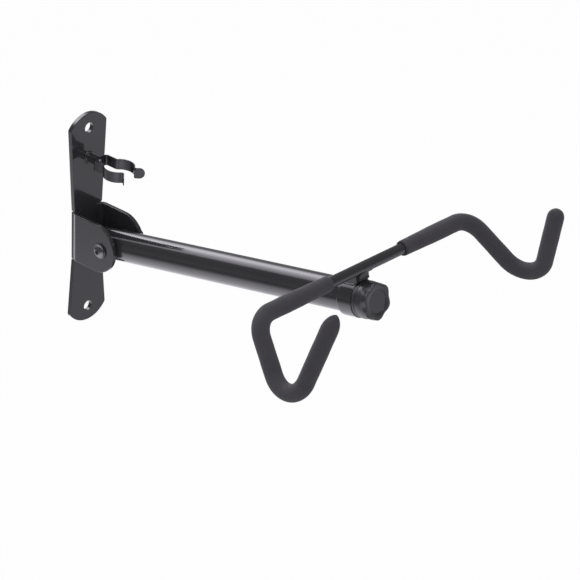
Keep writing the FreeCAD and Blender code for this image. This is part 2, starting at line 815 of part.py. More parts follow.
def main():
    bar = cross_bar()
    pieces = {
        "wall_plate": wall_plate(),
        "clip_post": clip_post(),
        "tube_clip": tube_clip(),
        "clip_screw": clip_screw(),
        "pivot_bolt": pivot_bolt(),
        "pivot_washers": pivot_washers(),
        "pivot_nut": pivot_nut(),
        "pivot_sleeve": pivot_sleeve(),
        "pivot_bushes": pivot_bushes(),
        "arm_tube": arm_tube(),
        "end_plug": end_plug(),
        "clamp_stud": clamp_stud(),
        "friction_ring": friction_ring(),
        "holder_collar": holder_collar(),
        "holder_neck": holder_neck(),
        "cross_bar": bar,
        "left_sleeve": foam_sleeve(-1, bar),
        "right_sleeve": foam_sleeve(1, bar),
        "thrust_washer": thrust_washer(),
        "clamp_knob": clamp_knob(),
        "knob_nut": knob_nut(),
        "knob_cap": knob_cap(),
    }
    os.makedirs("parts", exist_ok=True)
    for name, shape in pieces.items():
        shape.exportStep(f"parts/{name}.step")
        box = shape.BoundBox
        print(f"{name:15s} solids {len(shape.Solids)} valid {shape.isValid()} volume {shape.Volume:10.1f}"
              f"  x {box.XMin:7.1f} {box.XMax:7.1f}  y {box.YMin:7.1f} {box.YMax:7.1f}"
              f"  z {box.ZMin:7.1f} {box.ZMax:7.1f}")


main()
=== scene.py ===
import json
import math

import bpy
import numpy as np
from mathutils import Matrix, Vector


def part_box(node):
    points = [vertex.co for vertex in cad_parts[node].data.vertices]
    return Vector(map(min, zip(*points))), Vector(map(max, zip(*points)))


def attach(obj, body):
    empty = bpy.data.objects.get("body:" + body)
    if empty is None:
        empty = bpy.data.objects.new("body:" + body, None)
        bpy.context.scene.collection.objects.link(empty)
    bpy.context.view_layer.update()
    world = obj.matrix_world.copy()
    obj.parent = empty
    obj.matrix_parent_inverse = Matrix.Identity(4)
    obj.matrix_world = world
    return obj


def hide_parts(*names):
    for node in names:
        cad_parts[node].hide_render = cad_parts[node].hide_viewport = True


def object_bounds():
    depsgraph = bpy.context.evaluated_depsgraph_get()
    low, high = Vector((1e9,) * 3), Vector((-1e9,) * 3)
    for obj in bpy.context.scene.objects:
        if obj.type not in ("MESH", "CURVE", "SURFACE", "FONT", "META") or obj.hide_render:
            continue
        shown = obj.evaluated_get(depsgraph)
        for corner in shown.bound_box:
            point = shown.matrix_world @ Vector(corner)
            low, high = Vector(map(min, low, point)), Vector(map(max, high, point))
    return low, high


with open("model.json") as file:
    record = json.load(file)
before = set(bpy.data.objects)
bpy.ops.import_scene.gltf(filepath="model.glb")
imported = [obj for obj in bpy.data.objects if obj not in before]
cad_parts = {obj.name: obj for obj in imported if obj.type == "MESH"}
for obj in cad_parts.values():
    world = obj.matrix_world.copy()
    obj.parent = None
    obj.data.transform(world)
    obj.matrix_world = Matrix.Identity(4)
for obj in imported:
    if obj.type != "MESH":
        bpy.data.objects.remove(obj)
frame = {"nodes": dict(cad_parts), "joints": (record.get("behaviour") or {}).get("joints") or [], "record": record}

# Looks of a folding bicycle wall rack. Lengths are metres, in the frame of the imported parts: +Z is up
# and -Y points out of the wall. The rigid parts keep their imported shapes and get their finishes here.
# The foam sleeves, the hinge bolt, the hand knob with its washer, and the weld beads are surfaces worked
# out below.

packed_low, packed_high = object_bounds()
joints = {joint["name"]: joint for joint in frame["joints"]}
mm = 0.001

# The arm's own directions: sideways, along it away from the hinge, and up at right angles to both
HINGE = np.array(joints["arm_fold"]["pos_m"])
SIDE = np.array([1.0, 0.0, 0.0])
ALONG = np.array(joints["holder_turn"]["axis"])
UP = np.cross(ALONG, SIDE)

# Cross bar and its hooks, as distances in the arm's directions
bar_radius = 5.5 * mm
bar_along = 347.0 * mm
bar_up = 34.0 * mm
bar_half_length = 149.7 * mm
hook_low = (177.8 * mm, 402.2 * mm, -45.1 * mm)
hook_tip = (157.7 * mm, 453.9 * mm, 55.8 * mm)
hook_bend_radius = 26.2 * mm

# Foam sleeves
foam_start = 52.0 * mm
foam_radius = 8.5 * mm
foam_start_radius = 7.7 * mm
foam_taper = 50.0 * mm
foam_tip_cover = 7.0 * mm
foam_nose = 13.0 * mm
foam_inset = 0.06 * mm
foam_lip_depth = 0.5 * mm
foam_lip_length = 0.8 * mm
foam_bore_start = 0.3 * mm
# Slow waves in the foam's outside, as height, length of the wave, and where it starts
foam_wavers = [(0.05 * mm, 7 * mm, 0.0), (0.04 * mm, 3.1 * mm, 1.0)]

# The two foam tips, by side: how far the point runs on and aside, its creases, and how blunt it is
foam_tips = {
    -1: {"reach": 4.4 * mm, "shift": 0.4 * mm, "crease_turn": -0.03, "crease_depth": 0.36, "bluntness": 0.62},
    1: {"reach": -2.4 * mm, "shift": 0.0, "crease_turn": -0.33, "crease_depth": 0.06, "bluntness": 0.50},
}
foam_rows = 420
foam_columns = 96

# Hinge bolt
bolt_head_radius = 7.0 * mm
bolt_head_height = 4.4 * mm
bolt_head_rim = 0.9 * mm
bolt_socket_width = 5.0 * mm
bolt_socket_depth = 2.6 * mm
bolt_mouth_ease = 0.15 * mm
bolt_head_edge = 0.12 * mm
bolt_neck_ease = 0.3 * mm
bolt_tip_ease = 0.9 * mm
bolt_tip_step = 1.1 * mm
bolt_radius = 4.0 * mm
bolt_pitch = 1.25 * mm
bolt_thread_depth = 0.62 * mm
bolt_thread_length = 16.0 * mm

# Welds
weld_radius = 1.25 * mm
weld_ripple = 1.7 * mm
weld_flatness = 0.75
bar_weld_middle = math.radians(225)
bar_weld_half_turn = math.radians(47)
bar_weld_lift = 0.15 * mm
collar_weld_inset = 0.6 * mm
collar_weld_lift = 0.1 * mm
post_weld_inset = 0.35 * mm
neck_half_width = 9.0 * mm
neck_back = 323.2 * mm
collar_front = 340.1 * mm
collar_radius = 18.75 * mm
post_weld_radius = 5.6 * mm

# Hand knob and the washer behind it, as distances along the arm and radii about its axis
knob_back = 344.3 * mm
knob_front = 357.9 * mm
knob_back_radius = 18.4 * mm
knob_step_along = 352.2 * mm
knob_step_length = 1.0 * mm
knob_lobes = 6
knob_first_lobe = math.radians(31)
knob_lobe_reach = 19.2 * mm
knob_scoop_start = 347.5 * mm
knob_scoop_depth = 2.8 * mm
knob_scoop_width = math.radians(18)
knob_front_rounding = 1.3 * mm
knob_back_edge = 0.4 * mm
knob_recess_radius = 11.5 * mm
knob_recess_depth = 2.2 * mm
knob_recess_edge = 0.25 * mm
knob_pocket_width = 17.0 * mm
knob_pocket_floor = 347.3 * mm
knob_bore_radius = 5.5 * mm
washer_back = 340.2 * mm
washer_front = 344.2 * mm
washer_radius = 18.2 * mm
washer_edge = 0.4 * mm

# Studio: ramps from 0 to 1 over directions or places, as pairs of a place and a level
studio_tint = (1.0, 0.975, 1.055)
world_fill = 0.62
softbox_radiance = 6.6
softbox_across = [
    (0.370, 0.0), (0.385, 0.30), (0.50, 0.55), (0.65, 0.95), (0.71, 0.7), (0.80, 0.08), (0.84, 0.0),
]
softbox_upwards = [(0.50, 0.0), (0.60, 0.5), (0.69, 1.0), (1.0, 1.0)]
softbox_behind = [(0.62, 0.0), (0.72, 1.0)]
wall_upwards = [(0.35, 0.43), (0.50, 0.20), (0.65, 0.07), (1.0, 0.20)]
overhead_radiance = 4.5
overhead_across = [(0.28, 0.0), (0.38, 1.0), (0.52, 1.0), (0.60, 0.0)]
overhead_upwards = [(0.81, 0.0), (0.86, 1.0)]
mirrored_white = 0.12
floor_drop = 0.8
floor_half_width = 6.0
floor_whiteness = 0.97
# Painted light on the floor: what gloss sees of it is a glow, floor_radiance times a ramp along one diagonal, in a
# dark band and a bright band, as if lamped from the back left
floor_radiance = 2.0
floor_diagonal_start = 0.35
floor_diagonal_x = -0.1425
floor_diagonal_y = 0.1254
floor_diagonal = [
    (0.02, 0.42), (0.12, 0.32), (0.215, 0.07), (0.262, 0.08), (0.285, 0.50), (0.335, 0.68),
    (0.380, 0.82), (0.445, 1.0), (0.521, 0.95), (0.616, 0.75), (0.680, 0.42), (0.77, 0.22),
    (0.85, 0.12), (0.958, 0.10),
]


# ------------------------------------------------------------------ shader maths


class Wire:
    """One output of a shader node. Arithmetic on wires adds the Math nodes that do it."""

    def __init__(self, finish, socket):
        self.finish = finish
        self.socket = socket

    def _math(self, operation, first, second):
        return self.finish.node("ShaderNodeMath", {"operation": operation}, [first, second])

    def __add__(self, other):
        return self._math("ADD", self, other)

    __radd__ = __add__

    def __sub__(self, other):
        return self._math("SUBTRACT", self, other)

    def __rsub__(self, other):
        return self._math("SUBTRACT", other, self)

    def __mul__(self, other):
        return self._math("MULTIPLY", self, other)

    __rmul__ = __mul__


class Finish:
    """A material or world under construction, as the tree of nodes behind it."""

    def __init__(self, owner):
        owner.use_nodes = True
        self.owner = owner
        self.tree = owner.node_tree
        self.tree.nodes.clear()

    def node(self, kind, settings=None, inputs=(), output=0):
        """Add a node: first its settings, then a value or wire for each of its inputs."""
        made = self.tree.nodes.new(kind)
        for name, value in (settings or {}).items():
            if name == "stops":
                self._set_stops(made.color_ramp, value)
            else:
                setattr(made, name, value)
        named = inputs.items() if isinstance(inputs, dict) else enumerate(inputs)
        for name, value in named:
            if isinstance(value, Wire):
                self.tree.links.new(value.socket, made.inputs[name])
            else:
                made.inputs[name].default_value = value
        return Wire(self, made.outputs[output]) if len(made.outputs) else None

    def _set_stops(self, ramp, stops):
        while len(ramp.elements) < len(stops):
            ramp.elements.new(0.5)
        for element, (place, level) in zip(ramp.elements, stops):
            element.position = place
            element.color = (level, level, level, 1.0)

    def place(self):
        """Position on the object, in metres."""
        return self.node("ShaderNodeTexCoord", output="Object")

    def noise(self, place, cell, detail=2.0, roughness=0.5):
        """Cloudy noise from 0 to 1, with features of about one cell, in metres."""
        settings = {"noise_dimensions": "3D"}
        inputs = {"Vector": place, "Scale": 1.0 / cell, "Detail": detail, "Roughness": roughness}
        return self.node("ShaderNodeTexNoise", settings, inputs, "Fac")

    def ramp(self, value, stops):
        return self.node("ShaderNodeValToRGB", {"stops": stops}, [value])

    def blend(self, factor, first, second):
        """Mix two colours."""
        settings = {"data_type": "RGBA"}
        return self.node("ShaderNodeMix", settings, {0: factor, 6: first, 7: second}, 2)

    def rounded(self, radius):
        """The surface's normal with its edges rounded."""
        return self.node("ShaderNodeBevel", {"samples": 6}, {"Radius": radius})

    def bump(self, height, depth, normal=None):
        """Raise the surface by depth, in metres, where height is 1."""
        inputs = {"Height": height, "Distance": depth, "Strength": 1.0}
        if normal is not None:
            inputs["Normal"] = normal
        return self.node("ShaderNodeBump", {}, inputs)

    def surface(self, inputs):
        shader = self.node("ShaderNodeBsdfPrincipled", {}, inputs)
        self.node("ShaderNodeOutputMaterial", {}, {"Surface": shader})
        return self.owner


def colour(red, green, blue):
    return (red, green, blue, 1.0)


# ------------------------------------------------------------------ finishes


def gloss_black_paint():
    """Stoved gloss paint: faint orange peel, a little cloudiness in its gloss, specks of dust, and
    rounded edges."""
    finish = Finish(bpy.data.materials.new("gloss_black_paint"))
    place = finish.place()
    cloud = finish.noise(place, 30 * mm)
    peel = finish.noise(place, 2.2 * mm, detail=1.0)
    dust = finish.ramp(finish.noise(place, 0.7 * mm, detail=3.0), [(0.62, 0.0), (0.8, 1.0)])
    shade = finish.blend(cloud, colour(0.033, 0.033, 0.036), colour(0.039, 0.039, 0.042))
    return finish.surface({
        "Base Color": finish.blend(0.12 * dust, shade, colour(0.09, 0.09, 0.10)),
        "Roughness": 0.11 + 0.07 * cloud + 0.06 * dust,
        "IOR": 1.40,
        "Coat Weight": 0.3,
        "Coat Roughness": 0.04,
        "Normal": finish.bump(peel, 0.004 * mm, finish.rounded(0.5 * mm)),
    })


def weld_paint():
    """The same paint over the rippled, slightly spattered metal of a weld."""
    finish = Finish(bpy.data.materials.new("weld_paint"))
    place = finish.place()
    lump = finish.noise(place, 1.1 * mm, detail=3.0)
    return finish.surface({
        "Base Color": finish.blend(lump, colour(0.012, 0.012, 0.013), colour(0.022, 0.022, 0.024)),
        "Roughness": 0.14 + 0.10 * lump,
        "IOR": 1.55,
        "Coat Weight": 0.55,
        "Coat Roughness": 0.04,
        "Normal": finish.bump(lump, 0.12 * mm),
    })


def blackened_spring_steel():
    """Rolled strip, blackened: satin, with fine rolling lines along the strip."""
    finish = Finish(bpy.data.materials.new("blackened_spring_steel"))
    place = finish.place()
    stretch = finish.node(
        "ShaderNodeMapping", {"vector_type": "POINT"}, {"Vector": place, "Scale": (0.06, 0.06, 1.0)}
    )
    lines = finish.noise(stretch, 0.5 * mm, detail=3.0)
    cloud = finish.noise(place, 6 * mm, detail=3.0)
    return finish.surface({
        "Base Color": finish.blend(cloud, colour(0.042, 0.042, 0.045), colour(0.072, 0.072, 0.077)),
        "Metallic": 0.75,
        "Roughness": 0.27 + 0.12 * lines,
        "Normal": finish.bump(lines, 0.012 * mm, finish.rounded(0.35 * mm)),
    })


def black_zinc():
    """Black-plated fasteners: dark metal with a soft sheen, clouded with paler patches."""
    finish = Finish(bpy.data.materials.new("black_zinc"))
    place = finish.place()
    cloud = finish.noise(place, 3 * mm, detail=3.0)
    grain = finish.noise(place, 0.35 * mm)
    return finish.surface({
        "Base Color": finish.blend(cloud, colour(0.10, 0.10, 0.105), colour(0.20, 0.20, 0.21)),
        "Metallic": 0.9,
        "Roughness": 0.24 + 0.14 * grain,
        "Normal": finish.bump(grain, 0.01 * mm, finish.rounded(0.3 * mm)),
    })


def bright_zinc():
    """Bright-plated steel with a fine grain."""
    finish = Finish(bpy.data.materials.new("bright_zinc"))
    place = finish.place()
    grain = finish.noise(place, 0.4 * mm, detail=3.0)
    return finish.surface({
        "Base Color": finish.blend(grain, colour(0.55, 0.56, 0.58), colour(0.68, 0.69, 0.71)),
        "Metallic": 1.0,
        "Roughness": 0.22 + 0.14 * grain,
        "Normal": finish.bump(grain, 0.008 * mm, finish.rounded(0.3 * mm)),
    })


def satin_knob_plastic():
    """Glass-filled nylon moulding: satin skin with a very fine spark-eroded grain."""
    finish = Finish(bpy.data.materials.new("satin_knob_plastic"))
    place = finish.place()
    grain = finish.noise(place, 0.30 * mm, detail=2.0)
    flow = finish.noise(place, 9 * mm, detail=2.0)
    return finish.surface({
        "Base Color": finish.blend(flow, colour(0.030, 0.030, 0.034), colour(0.042, 0.042, 0.047)),
        "Roughness": 0.27 + 0.10 * flow + 0.05 * grain,
        "IOR": 1.53,
        "Normal": finish.bump(grain, 0.006 * mm, finish.rounded(0.5 * mm)),
    })


def moulded_nylon():
    """Plain black nylon of the hinge bushes."""
    finish = Finish(bpy.data.materials.new("moulded_nylon"))
    place = finish.place()
    grain = finish.noise(place, 0.5 * mm)
    return finish.surface({
        "Base Color": finish.blend(grain, colour(0.030, 0.030, 0.032), colour(0.050, 0.050, 0.054)),
        "Roughness": 0.42 + 0.10 * grain,
        "Normal": finish.bump(grain, 0.01 * mm, finish.rounded(0.3 * mm)),
    })


def pressed_fibre():
    """Brown friction fibre."""
    finish = Finish(bpy.data.materials.new("pressed_fibre"))
    place = finish.place()
    fibre = finish.noise(place, 0.6 * mm, detail=4.0)
    return finish.surface({
        "Base Color": finish.blend(fibre, colour(0.11, 0.07, 0.05), colour(0.22, 0.16, 0.11)),
        "Roughness": 0.7 + 0.15 * fibre,
        "Normal": finish.bump(fibre, 0.03 * mm),
    })


def closed_cell_foam():
    """Matte foam rubber: an open-pored skin, its pits painted darker as painted shade, and slightly paler where it
    has been rubbed.
    """
    finish = Finish(bpy.data.materials.new("closed_cell_foam"))
    place = finish.place()
    cells = finish.node(
        "ShaderNodeTexVoronoi", {"feature": "F1"}, {"Vector": place, "Scale": 1 / (0.75 * mm)}, "Distance"
    )
    pores_and_pore_shade = finish.ramp(cells, [(0.05, 0.0), (0.5, 1.0)])
    grain = finish.noise(place, 0.9 * mm, detail=4.0, roughness=0.65)
    rubbed = finish.noise(place, 22 * mm, detail=3.0)
    skin = finish.blend(grain, colour(0.036, 0.035, 0.038), colour(0.066, 0.064, 0.070))
    worn = finish.blend(0.35 * rubbed, skin, colour(0.085, 0.083, 0.089))
    return finish.surface({
        # Painted shade: the middle of each pore, where the bump sinks it, is blended a quarter of the way to near
        # black
        "Base Color": finish.blend(0.25 - 0.25 * pores_and_pore_shade, worn, colour(0.016, 0.016, 0.018)),
        "Roughness": 0.80 + 0.12 * grain,
        "IOR": 1.40,
        "Sheen Weight": 0.12,
        "Sheen Roughness": 0.5,
        "Normal": finish.bump(0.5 * pores_and_pore_shade + 0.5 * grain, 0.09 * mm),
    })


# ------------------------------------------------------------------ surfaces


def skin_of(name, rings):
    """Closed mesh through a stack of rings, an array of rows by columns by 3.
    The first and the last ring are points, each made one vertex, and the columns close round."""
    rows, columns = rings.shape[:2]
    points = np.vstack([rings[:1, 0], rings[1:-1].reshape(-1, 3), rings[-1:, 0]])
    column = np.arange(columns)
    after = (column + 1) % columns
    last_ring = 1 + (rows - 3) * columns
    start_fan = np.stack([np.zeros(columns, int), 1 + after, 1 + column], axis=1)
    end_point = np.full(columns, len(points) - 1)
    end_fan = np.stack([end_point, last_ring + column, last_ring + after], axis=1)
    row = 1 + columns * np.arange(rows - 3)[:, None]
    quads = np.stack([row + column, row + after, row + columns + after, row + columns + column], axis=2)
    faces = start_fan.tolist() + quads.reshape(-1, 4).tolist() + end_fan.tolist()
    return smooth_object(name, points, faces)


def ring_skin_of(name, rings):
    """Closed mesh through rings whose first and last join up, such as a bead round a corner."""
    rows, columns = rings.shape[:2]
    row = np.arange(rows)[:, None] * columns
    row_after = (np.arange(rows)[:, None] + 1) % rows * columns
    column = np.arange(columns)
    after = (column + 1) % columns
    quads = np.stack([row + column, row + after, row_after + after, row_after + column], axis=2)
    return smooth_object(name, rings.reshape(-1, 3), quads.reshape(-1, 4).tolist())


def smooth_object(name, points, faces):
    mesh = bpy.data.meshes.new(name)
    mesh.from_pydata(points.tolist(), [], faces)
    mesh.polygons.foreach_set("use_smooth", np.ones(len(mesh.polygons), bool))
    mesh.update()
    piece = bpy.data.objects.new(name, mesh)
    bpy.context.scene.collection.objects.link(piece)
    return piece


def dress(piece, body, finish):
    """Give a new piece its finish and its body."""
    piece.data.materials.append(finish)
    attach(piece, body)
    return piece


def arm_points(side, along, up):
    """Points of the arm from arrays of distances in its own directions."""
    side, along, up = np.broadcast_arrays(side, along, up)
    return HINGE + side[..., None] * SIDE + along[..., None] * ALONG + up[..., None] * UP


def unit(vectors):
    return vectors / np.linalg.norm(vectors, axis=-1, keepdims=True)


def full_turn(count):
    """Angles evenly spaced round one turn."""
    return np.linspace(0, 2 * math.pi, count, endpoint=False)


def smooth_step(share):
    """Rise from 0 to 1 as 3 s^2 - 2 s^3, s being the share held between 0 and 1."""
    share = np.clip(share, 0, 1)
    return share * share * (3 - 2 * share)


def hexagon_radii(turns, width):
    """Radius of a hexagon of this width across its flats, w / (2 cos(t - 60 k))."""
    corner_turn = math.pi / 3
    from_flat = (turns + corner_turn / 2) % corner_turn - corner_turn / 2
    return width / 2 / np.cos(from_flat)


def bent_route(corners, radius, distances):
    """Points and headings at some distances along straight runs joined by tangent arcs.
    Each arc turns about its centre from the run's heading before it to the heading after it."""
    stretches = []
    start = corners[0]
    for before, corner, after in zip(corners, corners[1:], corners[2:]):
        heading = unit(corner - before)
        following = unit(after - corner)
        turn = math.acos(float(heading @ following))
        setback = radius * math.tan(turn / 2)
        straight = np.linalg.norm(corner - start) - setback
        stretches.append((straight, start, heading, heading, 0.0))
        inward = unit(following - heading * (heading @ following))
        stretches.append((radius * turn, corner - heading * setback, heading, inward, turn))
        start = corner + following * setback
    final = unit(corners[-1] - start)
    stretches.append((np.linalg.norm(corners[-1] - start), start, final, final, 0.0))

    points = np.zeros((len(distances), 3))
    headings = np.zeros((len(distances), 3))
    travelled = 0.0
    for index, (length, origin, heading, inward, turn) in enumerate(stretches):
        final_stretch = index == len(stretches) - 1
        here = (distances >= travelled) & ((distances < travelled + length) | final_stretch)
        gone = (distances[here] - travelled)[:, None]
        if turn:
            angle = gone / radius
            points[here] = origin + radius * (np.sin(angle) * heading + (1 - np.cos(angle)) * inward)
            headings[here] = np.cos(angle) * heading + np.sin(angle) * inward
        else:
            points[here] = origin + gone * heading
            headings[here] = heading
        travelled += length
    return points, headings


def route_length(corners, radius):
    """Length of the same route, ends to ends."""
    total = sum(np.linalg.norm(after - before) for before, after in zip(corners, corners[1:]))
    for before, corner, after in zip(corners, corners[1:], corners[2:]):
        turn = math.acos(float(unit(corner - before) @ unit(after - corner)))
        total += radius * turn - 2 * radius * math.tan(turn / 2)
    return total


def rings_along(points, headings, reference, radii, turns):
    """Rings of given radii about points, square to the headings.
    A ring's point is the centre + radius (cos t N + sin t B), N being the reference made square to
    the heading and B their cross product, with t from 0 to a full turn round the columns."""
    across = unit(reference - (headings @ reference)[:, None] * headings)
    beside = np.cross(headings, across)
    spread = np.cos(turns)[..., None] * across[:, None] + np.sin(turns)[..., None] * beside[:, None]
    return points[:, None] + radii[..., None] * spread


# ------------------------------------------------------------------ foam sleeves


def share_of_nose(lengths, total):
    """How far into the nose each length is, from 0 at its start to 1 at the end of the foam."""
    return np.clip((lengths - total + foam_nose) / foam_nose, 0, 1)


def foam_radii(lengths, total, angles, tip):
    """Outer radius of the foam at some lengths along it and angles round it.
    It widens over the taper as a smooth step, wavers by a few hundredths, and closes over the nose
    as (1 - q^2.3)^b, b being the tip's bluntness and q running from 0 to 1. Four creases deepen
    towards the point as q^3."""
    body = foam_start_radius + (foam_radius - foam_start_radius) * smooth_step(lengths / foam_taper)
    waver = sum(height * np.sin(lengths / wave + start) for height, wave, start in foam_wavers)
    lip = foam_lip_depth * np.exp(-lengths / foam_lip_length)
    nose = share_of_nose(lengths, total)
    closing = (1 - nose**2.3) ** tip["bluntness"]
    crease = 0.5 + 0.5 * np.cos(4 * (angles - tip["crease_turn"]))
    pinch = 1 - tip["crease_depth"] * (nose**3)[:, None] * crease[None] ** 2
    return ((body + waver - lip - foam_inset) * closing)[:, None] * pinch


def foam_sleeve(side, name, node, finish):
    """Foam over one hook: out along the bar's surface as its bore, over the lip and along the
    outside to the pinched nose. Both ends of that profile are points on the centre line. In the nose
    that line runs on by the tip's reach, and aside by its shift, as q^2."""
    tip = foam_tips[side]
    corners = [
        arm_points(side * foam_start, bar_along, bar_up),
        arm_points(side * bar_half_length, bar_along, bar_up),
        arm_points(side * hook_low[0], hook_low[1], hook_low[2]),
        arm_points(side * hook_tip[0], hook_tip[1], hook_tip[2]),
    ]
    total = route_length(corners, hook_bend_radius)
    bore_end = total - foam_tip_cover
    angles = full_turn(foam_columns)

    bore = np.linspace(bore_end, foam_bore_start, foam_rows // 4)
    fine_nose = total - foam_nose * (1 - np.linspace(0, 1, foam_rows // 5)) ** 1.6
    outside = np.concatenate([np.linspace(0, total - foam_nose, foam_rows)[:-1], fine_nose])
    lengths = np.concatenate([[bore_end], bore, outside])

    bore_radii = np.full((len(bore) + 1, foam_columns), bar_radius)
    bore_radii[0] = 0
    radii = np.vstack([bore_radii, foam_radii(outside, total, angles, tip)])

    points, headings = bent_route(corners, hook_bend_radius, lengths)
    nose = share_of_nose(lengths, total)
    nose[:len(bore) + 1] = 0
    aside = unit(ALONG - headings * (headings @ ALONG)[:, None])
    points = points + nose[:, None] ** 2 * (tip["reach"] * headings + tip["shift"] * aside)
    legs = [unit(after - before) for before, after in zip(corners[1:], corners[2:])]
    reference = unit(np.cross(legs[0], legs[1]))
    rings = rings_along(points, headings, reference, radii, np.broadcast_to(angles, radii.shape))
    sleeve = dress(skin_of(name, rings), "holder", finish)
    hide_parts(node)
    return sleeve


# ------------------------------------------------------------------ hinge bolt


def bolt_profile(turns):
    """Distance along the bolt from its head's face, and radius, for each ring and angle.
    The socket is a hexagon, the head a low arc, and the thread a triangle wave that climbs by one
    pitch a turn."""
    low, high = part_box("pivot_bolt")
    length = high.x - low.x
    hexagon = hexagon_radii(turns, bolt_socket_width)
    level = np.ones_like(turns)
    mouth = bolt_socket_width / math.sqrt(3) + bolt_mouth_ease
    rise = bolt_head_height - bolt_head_rim
    ball = (bolt_head_radius**2 + rise**2) / (2 * rise)
    rings = [
        (bolt_socket_depth, 0 * level),
        (bolt_socket_depth, 0.7 * hexagon),
        (bolt_socket_depth - 0.05 * mm, 0.98 * hexagon),
        (bolt_socket_depth - 0.25 * mm, hexagon),
        (0.35 * mm, hexagon),
    ]
    for radius in np.linspace(mouth, bolt_head_radius - 0.05 * mm, 24):
        rings.append((ball - math.sqrt(ball**2 - radius**2), radius * level))
    rings += [
        (rise + 0.15 * mm, bolt_head_radius * level),
        (bolt_head_height - bolt_head_edge, bolt_head_radius * level),
        (bolt_head_height, (bolt_head_radius - bolt_head_edge) * level),
        (bolt_head_height, (bolt_radius + bolt_neck_ease) * level),
        (bolt_head_height + bolt_neck_ease, bolt_radius * level),
    ]
    for distance in np.linspace(bolt_head_height + 1 * mm, length - bolt_thread_length, 12):
        rings.append((distance, bolt_radius * level))
    for distance in np.arange(length - bolt_thread_length, length - 0.2 * mm, bolt_pitch / 10):
        phase = (distance / bolt_pitch - turns / (2 * math.pi)) % 1
        groove = bolt_thread_depth * (1 - np.abs(2 * phase - 1))
        lead = min(1, (distance - length + bolt_thread_length) / bolt_pitch)
        chamfer = max(0.0, distance - length + bolt_tip_ease)
        rings.append((distance, bolt_radius - np.maximum(lead * groove, chamfer)))
    rings.append((length, (bolt_radius - bolt_tip_step) * level))
    rings.append((length, 0 * level))
    distances = np.array([np.broadcast_to(distance, turns.shape) for distance, _ in rings])
    return distances, np.array([radius for _, radius in rings])


def hinge_bolt(finish):
    """Button-head bolt with its socket and thread, turned about the hinge's axis."""
    turns = full_turn(96)
    distances, radii = bolt_profile(turns)
    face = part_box("pivot_bolt")[0].x
    rings = np.stack([
        face + distances,
        HINGE[1] + radii * np.sin(turns),
        HINGE[2] + radii * np.cos(turns),
    ], axis=-1)
    bolt = dress(skin_of("hinge_bolt", rings), "wall_bracket", finish)
    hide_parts("pivot_bolt")
    return bolt


# ------------------------------------------------------------------ hand knob


def about_axis(name, distances, radii, turns):
    """Ring-shaped mesh whose points stand at a distance along the arm and a radius from its axis,
    for every row of a closed profile and every turn from the arm's side direction."""
    side = radii * np.cos(turns)
    up = radii * np.sin(turns)
    return ring_skin_of(name, arm_points(side, np.broadcast_to(distances[:, None], radii.shape), up))


def knob_outside(distances, turns):
    """Outer radius of the knob before its front edge is rounded: a round reach, which steps up from
    the body to the crown, less six scoops. A scoop is depth (share of the way)^1.25 e^-(t / width)^2,
    t being the turn from its middle."""
    way = np.clip((distances - knob_scoop_start) / (knob_front - knob_scoop_start), 0, 1)[:, None]
    lobe_turn = 2 * math.pi / knob_lobes
    from_hollow = (turns - knob_first_lobe) % lobe_turn - lobe_turn / 2
    scoops = knob_scoop_depth * way**1.25 * np.exp(-((from_hollow / knob_scoop_width) ** 2))[None]
    step = smooth_step((distances - knob_step_along) / knob_step_length)[:, None]
    return knob_back_radius + (knob_lobe_reach - knob_back_radius) * step - scoops


def hand_knob(finish):
    """Six-lobed knob: a round body and a thin lobed crown, its front edge a quarter circle, then
    the cap's recess, the nut's hexagonal pocket and the bore."""
    turns = full_turn(240)
    level = np.ones_like(turns)
    side_rows = np.linspace(knob_back + knob_back_edge, knob_front - knob_front_rounding, 46)
    sides = knob_outside(side_rows, turns)
    bend = np.linspace(0, math.pi / 2, 10)[1:, None]
    rounding = sides[-1] - knob_front_rounding * (1 - np.cos(bend))
    rounding_rows = knob_front - knob_front_rounding * (1 - np.sin(bend[:, 0]))
    hexagon = hexagon_radii(turns, knob_pocket_width)
    recess_floor = knob_front - knob_recess_depth
    rest = [
        (knob_front, (knob_recess_radius + knob_recess_edge) * level),
        (knob_front - knob_recess_edge, knob_recess_radius * level),
        (recess_floor, knob_recess_radius * level),
        (recess_floor, hexagon),
        (knob_pocket_floor, hexagon),
        (knob_pocket_floor, knob_bore_radius * level),
        (knob_back, knob_bore_radius * level),
        (knob_back, sides[0] - knob_back_edge),
    ]
    distances = np.concatenate([side_rows, rounding_rows, [distance for distance, _ in rest]])
    radii = np.vstack([sides, rounding, np.array([radius for _, radius in rest])])
    knob = dress(about_axis("hand_knob", distances, radii, turns), "knob", finish)
    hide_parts("clamp_knob")
    return knob


def knob_washer(finish):
    """Plain washer behind the knob, its two outer edges eased."""
    turns = full_turn(160)
    profile = [
        (washer_back, washer_radius - washer_edge), (washer_back + washer_edge, washer_radius),
        (washer_front - washer_edge, washer_radius), (washer_front, washer_radius - washer_edge),
        (washer_front, knob_bore_radius), (washer_back, knob_bore_radius),
    ]
    distances = np.array([distance for distance, _ in profile])
    radii = np.array([radius for _, radius in profile])[:, None] * np.ones_like(turns)
    washer = dress(about_axis("knob_washer", distances, radii, turns), "knob_carrier", finish)
    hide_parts("thrust_washer")
    return washer


# ------------------------------------------------------------------ welds


